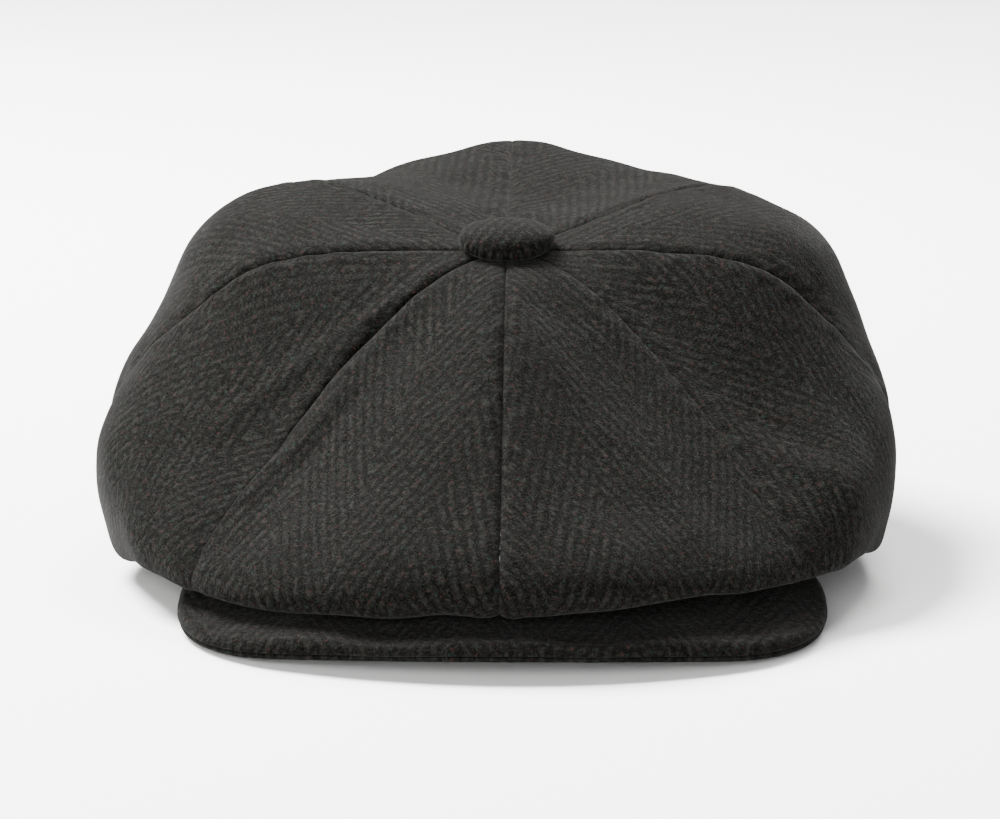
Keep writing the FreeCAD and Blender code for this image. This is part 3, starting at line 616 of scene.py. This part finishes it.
def makeLining():
    # one spline for each column, set up round the crown, with an even thickness to both sides of it
    count = lining["columns"]
    turn = np.arange(8 * count) * fullTurn / (8 * count)
    poles = liningPoles(turn)
    places = evenPlaces(liningPoles(np.array([1.5]))[:, 0], lining["rows"])
    profile = np.einsum("rp,pcd->rcd", splineWeights(len(poles), places), poles)
    base = standUp(profile, turn)
    reach = profile[..., 0]
    toSeam = reach * np.minimum(turn % panelAngle, panelAngle - turn % panelAngle)
    free = smooth(0.0, 0.12, 1 - np.linspace(0, 1, lining["rows"]))[:, None] * smooth(10, 40, reach)
    soft = sum(height * waves(base, length) for length, height in lining["folds"]) * free
    soft += lining["seamDepth"] * bell(toSeam, lining["seamWidth"]) * free
    normals = surfaceNormals(base)
    half = lining["thick"] / 2
    sheets = [base + normals * (side * half - soft)[..., None] for side in (1, -1)]
    for k, name in enumerate(weaveShift):
        pick = np.arange(k * count, (k + 1) * count + 1) % (8 * count)
        loops = np.concatenate([sheets[0][:, pick], sheets[1][::-1, pick]])
        gore = shellMesh("satin_gore_" + name, loops, liningSatin)
        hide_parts("lining_gore_" + name)
        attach(gore, "root")


makeLining()
print("lining made")


# bands of the head opening

bands = {
    "sweatThick": 1.6,
    "sweatTall": 28.0,
    "sweatRound": 0.7,            # radius of its edges
    "stitchUp": 5.0,              # height of the stitch row, which draws the cloth in a little
    "stitchPull": 0.18,
    "waviness": 0.35,             # how far the free top edge wanders inward
    "tapeThick": 1.0,
    "tapeTall": 16.0,
    "tapeRound": 0.35,
    "stations": 320,
}


def bandShell(name, outline, wander, material):
    # a closed outline of (out, up) carried round the oval: half axes times sine and cosine of the turn;
    # wander is how far each station leans outward
    turn = np.arange(bands["stations"]) * fullTurn / bands["stations"]
    up = outline[:, 1:]
    out = outline[:, :1] + wander(turn, up)
    x = (head["bandWidth"] + out) * np.sin(turn)
    y = -(head["bandLength"] + out) * np.cos(turn)
    z = openingHeight(y) + up
    arc = (head["bandWidth"] + head["bandLength"]) / 2 * turn
    cloth = np.stack([arc + 0 * z, up + 0 * z], axis=-1)
    return shellMesh(name, np.stack([x, y, z], axis=-1), material, cloth, around=True)


def roundedStrip(inside, outside, low, high, radius, rows):
    # outline of a strip with quarter circles at its edges: up the inner face, over, and down the outer face
    angles = np.linspace(0, math.pi / 2, 5)
    up = np.linspace(low + radius, high - radius, rows)
    quarter = radius * np.stack([1 - np.cos(angles), np.sin(angles)], axis=-1)
    back = quarter[::-1]
    innerSide = np.stack([inside + 0 * up, up], axis=-1)
    topInner = np.array([inside, high - radius]) + quarter[1:]
    topOuter = np.array([outside, high - radius]) + back * [-1, 1]
    outerSide = np.stack([outside + 0 * up, up[::-1]], axis=-1)[1:]
    lowOuter = np.array([outside, low + radius]) - quarter[1:]
    lowInner = (np.array([inside, low + radius]) + back * [1, -1])[:-1]
    return np.concatenate([innerSide, topInner, topOuter, outerSide, lowOuter, lowInner])


def sweatWander(turn, up):
    # drawn outward along the stitches, and leaning inward in slow waves that grow towards the free top edge
    slow = 0.5 + 0.5 * np.sin(3 * turn + 0.6) * np.sin(7 * turn + 1.9)
    top = (up / bands["sweatTall"]) ** 2
    ripple = 0.08 * np.sin(61 * turn) * bell(up - bands["stitchUp"], 2.5)
    return bands["stitchPull"] * bell(up - bands["stitchUp"], 1.1) - bands["waviness"] * slow * top + ripple


def tapeWander(turn, up):
    # fine inward ribs round the tape
    return -0.05 * np.abs(np.sin(160 * turn)) + 0 * up


sweatOutline = roundedStrip(-bands["sweatThick"], 0.0, 0.0, bands["sweatTall"], bands["sweatRound"], 22)
sweatband = bandShell("sweatband_twill_band", sweatOutline, sweatWander, bandTwill)
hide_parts("sweatband")
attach(sweatband, "root")

tapeInside = head["bandOut"] - bands["tapeThick"]
tapeOutline = roundedStrip(tapeInside, head["bandOut"], 0.0, bands["tapeTall"], bands["tapeRound"], 10)
tape = bandShell("woven_stay_tape", tapeOutline, tapeWander, stayTape)
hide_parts("headsize_tape")
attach(tape, "root")
print("bands made")


# peak: top cover wrapped over the edge, under cover, and the seam that holds its root

peak = {
    "front": 155.0,               # reach of the front edge
    "halfWidth": 102.5,
    "frontRadius": 190.0,
    "cornerRadius": 52.0,
    "sideY": -88.0,               # where the straight side ends and the horn begins
    "tilt": 8.0,                  # degrees it slopes down to the front
    "arch": 460.0,                # radius that it is bent to
    "edgeHeight": 5.6,            # underside of the front edge
    "rootGap": 0.8,               # from the stay tape
    "thick": 5.0,
    "cloth": 1.6,
    "seamUp": 1.8,                # height of the edge seam over the underside
    "roll": 2.2,                  # how far in from the edge the top starts to roll over
    "underRoll": 1.3,             # and the underside
    "narrow": 12.0,               # below this width the horns' edges are drawn in less
    "stations": 260,
    "rows": 56,
    "crowding": 0.25,             # how much closer the stations stand towards the horns
    "lumps": [(46.0, 0.35), (14.0, 0.10)],        # (length, height) of the soft lumps on top
    "weaveStart": 533.0,
}


def peakPlace(x, y, up):
    # the bent sheet: height of a leaning cylinder, at a distance above the peak's underside
    tilt = math.radians(peak["tilt"])
    line = peak["edgeHeight"] + (y + peak["front"]) * math.tan(tilt)
    return line + (np.sqrt((peak["arch"] + up) ** 2 - x ** 2) - peak["arch"]) / math.cos(tilt)


def peakPlan():
    # outline from the right horn round the front to the left horn, as three arcs to a side, and the root
    # oval beside it, at the same shares of their lengths
    wide, front, big, small = peak["halfWidth"], peak["front"], peak["frontRadius"], peak["cornerRadius"]
    middle, cornerX = big - front, wide - small
    cornerY = middle - math.sqrt((big - small) ** 2 - cornerX ** 2)
    lean = math.atan2(cornerX, middle - cornerY)
    rootA, rootB = (head[k] + head["bandOut"] + peak["rootGap"] for k in ("bandWidth", "bandLength"))
    quarter = math.pi / 2
    arcs = []
    for centreX, centreY, radius, start, end in ((0, middle, big, 0, lean),
                                                 (cornerX, cornerY, small, lean, quarter),
                                                 (cornerX, peak["sideY"], small, quarter, math.pi)):
        angle = np.linspace(start, end, 400)
        arcs.append(np.stack([centreX + radius * np.sin(angle), centreY - radius * np.cos(angle)], axis=-1))
    half = np.concatenate(arcs)
    inOval = (half[:, 0] / rootA) ** 2 + (half[:, 1] / rootB) ** 2 < 1
    last = int(np.argmax(inOval & (half[:, 1] > peak["sideY"])))      # where the horn meets the root oval
    half = half[:last + 1]
    tip = math.atan2(half[-1, 0] / rootA, -half[-1, 1] / rootB)
    angle = np.linspace(0, tip, 800)
    root = np.stack([rootA * np.sin(angle), -rootB * np.cos(angle)], axis=-1)
    share = np.linspace(0, 1, peak["stations"] // 2 + 1)
    share = share + peak["crowding"] * np.sin(math.pi * share) / math.pi
    sides = []
    for line in (half, root):
        run = walked(line)
        picked = np.stack([np.interp(share * run[-1], run, line[:, j]) for j in (0, 1)], axis=-1)
        mirrored = picked[:0:-1] * np.array([-1, 1])
        sides.append(np.concatenate([mirrored, picked]))
    return sides


edgeLine, rootLine = peakPlan()
peakReach = np.linalg.norm(edgeLine - rootLine, axis=1)
edgeOut = unit(np.stack([np.gradient(edgeLine[:, 1]), -np.gradient(edgeLine[:, 0])], axis=-1))    # outward
edgeOut[0], edgeOut[-1] = edgeOut[1], edgeOut[-2]


def peakShell(name, outline, lumpy):
    # an outline carried along the edge: for each loop point the share of the way out from the root, the
    # distance drawn in from the edge and the height over the underside
    share, margin, up = (outline[:, j][:, None] for j in range(3))
    narrow = np.minimum(peakReach / peak["narrow"], 1.0)
    edge = edgeLine[None] - (margin * narrow)[..., None] * edgeOut
    plan = rootLine * (1 - share)[..., None] + edge * share[..., None]
    x, y = plan[..., 0], plan[..., 1]
    z = peakPlace(x, y, up + 0 * x)
    points = np.stack([x, y, z], axis=-1)
    flat = np.stack([x, y, 0 * x], axis=-1)
    soft = sum(height * waves(flat, length) for length, height in peak["lumps"])
    points[..., 2] += soft * lumpy[:, None] * smooth(0, 20, peakReach)
    cloth = np.stack([x + peak["weaveStart"], walked(points) - walked(plan) - y], axis=-1)
    piece = shellMesh(name, points, tweedCloth, cloth)
    return piece


def topCoverOutline():
    # out along the top, down a quarter oval to the seam, and back under the cloth's own thickness
    rows, thick, cloth, seam = peak["rows"], peak["thick"], peak["cloth"], peak["seamUp"]
    roll, fall = peak["roll"], 0.72 * (peak["thick"] - seam - 0.2)
    angle = np.linspace(0, math.pi / 2, 9)[1:]
    out = np.linspace(0, 1, rows)
    top = np.stack([out, 0 * out + roll, 0 * out + thick], axis=-1)
    rolled = [1 + 0 * angle, roll * (1 - np.sin(angle)), thick - fall * (1 - np.cos(angle))]
    seamHeights = [seam + 0.7, seam + 0.35, seam + 0.1]
    toSeam = np.stack([np.ones(3), [0.0, 0.18, 0.55], seamHeights], axis=-1)
    path = np.concatenate([top, np.stack(rolled, axis=-1), toSeam])
    inside = path.copy()
    inside[:, 2] = np.minimum(path[:, 2] - 0.1, thick - cloth)
    inside[:, 1] = path[:, 1] + smooth(0, 1, 1 - (path[:, 1] / roll)) * cloth
    inside[-3:, 1] = cloth
    inside[-3:, 2] = seamHeights
    lumpy = smooth(0, 0.1, path[:, 0]) * path[:, 1] / roll      # none at the root and round the edge
    return np.concatenate([path, inside[::-1]]), np.concatenate([lumpy, 0.8 * lumpy[::-1]])


def underCoverOutline():
    # along the underside, up a quarter oval at its edge, and back level with the seam
    rows, roll, seam = peak["rows"] // 2, peak["underRoll"], peak["seamUp"] - 0.15
    out = np.linspace(0, 1, rows)
    low = np.stack([out, 0 * out + roll, 0 * out], axis=-1)
    angle = np.linspace(0, math.pi / 2, 6)[1:]
    rolled = [1 + 0 * angle, roll - 0.85 * np.sin(angle), 0.75 * seam * (1 - np.cos(angle))]
    path = np.concatenate([low, np.stack(rolled, axis=-1), [[1, 0.6, seam]]])
    inside = path.copy()
    inside[:, 2] = seam
    inside[rows:, 1] = np.linspace(roll + 0.05, 1.0, len(path) - rows)
    return np.concatenate([path, inside[::-1]]), np.zeros(2 * len(path))


topCover = peakShell("peak_top_cloth", *topCoverOutline())
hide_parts("peak_top_cover")
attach(topCover, "peak")
underCover = peakShell("peak_under_cloth", *underCoverOutline())
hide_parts("peak_under_cover")
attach(underCover, "peak")

# how far it reaches below and above the peak's top, and the heights between which it bends
rootSeam = {"thick": 0.45, "gap": 0.15, "below": 1.2, "above": 3.3, "rows": 10, "bends": (3.0, 0.5)}


def makeRootSeam():
    # turned cloth that joins the peak's root to the crown: a thin upright strip just inside the root
    rows = rootSeam["rows"]
    up = np.linspace(rootSeam["above"], -rootSeam["below"], rows)
    outward = unit(rootLine / np.array([head["bandWidth"], head["bandLength"]]) ** 2)
    top = peakPlace(rootLine[:, 0], rootLine[:, 1], peak["thick"])
    sheets = []
    for inward in (rootSeam["gap"], rootSeam["gap"] + rootSeam["thick"]):
        plan = rootLine - inward * outward
        x, y = (plan[:, j] + 0 * up[:, None] for j in (0, 1))
        sheets.append(np.stack([x, y, top + up[:, None]], axis=-1))
    loops = np.concatenate([sheets[0], sheets[1][::-1]])
    cloth = np.stack([loops[..., 0] + peak["weaveStart"], loops[..., 2]], axis=-1)
    strip = shellMesh("peak_root_seam", loops, tweedCloth, cloth)
    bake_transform(strip)


makeRootSeam()
print("peak made")


# covered button

button = {
    "radius": 16.2,
    "rise": 8.3,
    "cloth": 1.1,
    "lip": 11.7,                  # the cloth is turned in under the edge, to this radius
    "seat": 0.85,                 # height of its underside over the panels' meeting point
    "fullness": 2.2,              # 2 would be half an oval
    "belly": 3.0,                 # height of its widest ring
    "sag": 1.5,                   # the front of the rim hangs this much over the crown
    "rings": 40,
    "spokes": 160,
    "gathers": 0.12,              # depth of the small pleats round the rim
    "pleats": 34,
    "weaveStart": 513.0,
}


def makeButton():
    # domed disc turned about the leaning axis: half an oval of a power a little over 2, so that its side
    # stands full, then a quarter roll and a flat lip under it
    angle = np.linspace(0, math.pi / 2, button["rings"])
    share = np.sin(angle) ** (2 / button["fullness"])
    drop = 1 - np.cos(angle) ** (2 / button["fullness"])
    cloth, radius, rise, belly = (button[word] for word in ("cloth", "radius", "rise", "belly"))
    dome = np.stack([share * (radius - 0.25), belly + (rise - belly) * (1 - drop)], axis=-1)
    angle = np.linspace(0, math.pi / 2, 6)[1:]
    roll = np.stack([radius - 0.25 - 1.2 * (1 - np.cos(angle)), belly * (1 - 0.8 * np.sin(angle))], axis=-1)
    under = np.array([[radius - 1.9, 0.08], [radius - 2.3, 0.03], [radius - 2.7, 0.0], [button["lip"], 0.0]])
    path = np.concatenate([dome, roll, under])
    tail = len(roll) + len(under)
    inside = path - cloth
    inside[:-tail, 0] = np.clip(inside[:-tail, 0], 0.0, radius - cloth)
    inside[:-tail, 1] = np.maximum(inside[:-tail, 1], 1.35 * cloth)
    inside[-tail:] = np.linspace([radius - cloth, 1.35 * cloth], [button["lip"], cloth], tail)
    loop = np.concatenate([path, inside[::-1]])
    loop[0, 0] = loop[-1, 0] = 0.0
    turn = np.arange(button["spokes"]) * fullTurn / button["spokes"]
    reach, height = loop[:, 0][:, None], loop[:, 1][:, None]
    rim = bell(reach - radius, 2.5) * (height < rise - 1.0)
    pleats = (0.5 + 0.5 * np.sin(button["pleats"] * turn)) * np.abs(np.sin(5 * turn))
    reach = reach * (1 - button["gathers"] / radius * rim * pleats)
    x, y, z = reach * np.sin(turn), -reach * np.cos(turn), height + 0 * turn
    weave = np.stack([x + button["weaveStart"], -y + 0.6 * (rise - z)], axis=-1)
    lean = math.radians(crown["apexTilt"])
    z = z + button["seat"] - button["sag"] * np.maximum(-y / radius, 0) * (1 - smooth(0, rise, z))
    points = np.stack([x, head["centreY"] + y * math.cos(lean) - z * math.sin(lean),
                       crown["apexHeight"] + y * math.sin(lean) + z * math.cos(lean)], axis=-1)
    return shellMesh("covered_button", points, tweedCloth, weave, around=True)


buttonCloth = makeButton()
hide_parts("button_cover")
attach(buttonCloth, "button")
print("button made")


# size tab: a blank ribbon folded in two

tab = {"wide": 12.0, "thick": 0.22, "rows": 16, "columns": 9}
tabLow, tabHigh = corners("size_tab")


def makeTab():
    # the ribbon runs straight down, turns round half a circle at the foot and comes back up
    low, high, wide = tabLow[2], tabHigh[2], tab["wide"]
    mid, half = (tabLow[1] + tabHigh[1]) / 2, (tabHigh[1] - tabLow[1]) / 2 - tab["thick"] / 2
    bend = np.linspace(0, math.pi, 9)
    z = np.concatenate([np.linspace(high, low + half, tab["rows"]), low + half - half * np.sin(bend[1:-1]),
                        np.linspace(low + half, high, tab["rows"])])
    y = np.concatenate([np.full(tab["rows"], mid - half), mid - half * np.cos(bend[1:-1]),
                        np.full(tab["rows"], mid + half)])
    centre = np.stack([y, z], axis=-1)
    side = unit(np.stack([np.gradient(z), -np.gradient(y)], axis=-1)) * tab["thick"] / 2
    loop = np.concatenate([centre + side, (centre - side)[::-1]])
    x = np.linspace(-wide / 2, wide / 2, tab["columns"])
    points = np.stack([x + 0 * loop[:, :1], loop[:, :1] + 0 * x, loop[:, 1:] + 0 * x], axis=-1)
    cloth = np.stack([points[..., 0], points[..., 2]], axis=-1)
    return shellMesh("blank_size_tab", points, labelTape, cloth)


label = makeTab()
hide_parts("size_tab")
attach(label, "root")
print("size tab made")


# CAD pieces that keep their shape

keptFinishes = {
    "peak_board": boardPlastic,
    "button_shell": buttonMetal,
    "button_back_plate": buttonMetal,
    "button_eye": buttonMetal,
    "button_thread": sewingThread,
    "button_stay_patch": sewingThread,
    "crown_seam_stitching": sewingThread,
    "sweatband_stitching": sewingThread,
    "peak_edge_stitching": sewingThread,
}
for name, finish in keptFinishes.items():
    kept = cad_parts[name]
    kept.data.materials.clear()
    kept.data.materials.append(finish)
print("CAD pieces finished")


# studio

studio = {
    "floor": (0.80, 0.795, 0.785, 1),
    "floorHalf": 4.0,             # metres from its middle to its edge
    "floorDrop": 0.0005,          # it lies this far under the cap
    "world": (0.90, 0.91, 0.93, 1),
    "worldStrength": 0.34,
    "lens": 139.0,
    "distance": 1.30,
    "azimuth": 1.0,               # degrees round from straight in front, and up
    "elevation": 13.5,
    "target": (-0.0023, 0.0, 0.047),
    # (place, size, power): the key above and behind on the wearer's right, a weaker one behind the other
    # side, and two weak fills in front, one of them low
    "lights": [((-0.85, 0.6, 1.5), 0.9, 290.0), ((0.4, 0.9, 1.5), 0.9, 56.0),
               ((-1.1, -1.65, 1.1), 0.9, 26.0), ((-0.2, -1.9, 0.45), 1.4, 62.0)],
}


def makeStudio():
    # a flat floor, an even sky, round softboxes turned to the cap, and the camera
    half = studio["floorHalf"]
    mesh = bpy.data.meshes.new("studio_floor")
    mesh.from_pydata([(-half, -half, 0), (half, -half, 0), (half, half, 0), (-half, half, 0)], [],
                     [(0, 1, 2, 3)])
    material, tree, shader = newMaterial("pale_floor", 0.85)
    place = node(tree, "TexCoord").outputs["Object"]
    cloudy = ramp(tree, noiseAt(tree, place, 1.5), 0.3, 0.7)
    tone = mixColour(tree, cloudy, studio["floor"], tuple(0.98 * c for c in studio["floor"][:3]) + (1,))
    tree.links.new(tone, shader.inputs["Base Color"])
    mesh.materials.append(material)
    floor = bpy.data.objects.new("studio_floor", mesh)
    floor.location.z = -studio["floorDrop"]
    bpy.context.scene.collection.objects.link(floor)
    world = bpy.data.worlds.new("studio")
    world.use_nodes = True
    sky = world.node_tree.nodes["Background"]
    sky.inputs["Color"].default_value = studio["world"]
    sky.inputs["Strength"].default_value = studio["worldStrength"]
    bpy.context.scene.world = world
    target = Vector(studio["target"])
    for k, (place, size, power) in enumerate(studio["lights"]):
        light = bpy.data.lights.new("softbox_%d" % k, "AREA")
        light.shape, light.size, light.energy = "DISK", size, power
        lamp = bpy.data.objects.new("softbox_%d" % k, light)
        lamp.location = place
        lamp.rotation_euler = (target - Vector(place)).to_track_quat("-Z", "Y").to_euler()
        bpy.context.scene.collection.objects.link(lamp)
    camera = bpy.data.cameras.new("camera")
    camera.lens = studio["lens"]
    seat = bpy.data.objects.new("camera", camera)
    azimuth, elevation = math.radians(studio["azimuth"]), math.radians(studio["elevation"])
    away = Vector((math.sin(azimuth) * math.cos(elevation), -math.cos(azimuth) * math.cos(elevation),
                   math.sin(elevation)))
    seat.location = target + away * studio["distance"]
    seat.rotation_euler = (-away).to_track_quat("-Z", "Y").to_euler()
    bpy.context.scene.collection.objects.link(seat)
    bpy.context.scene.camera = seat


makeStudio()
print("studio made")
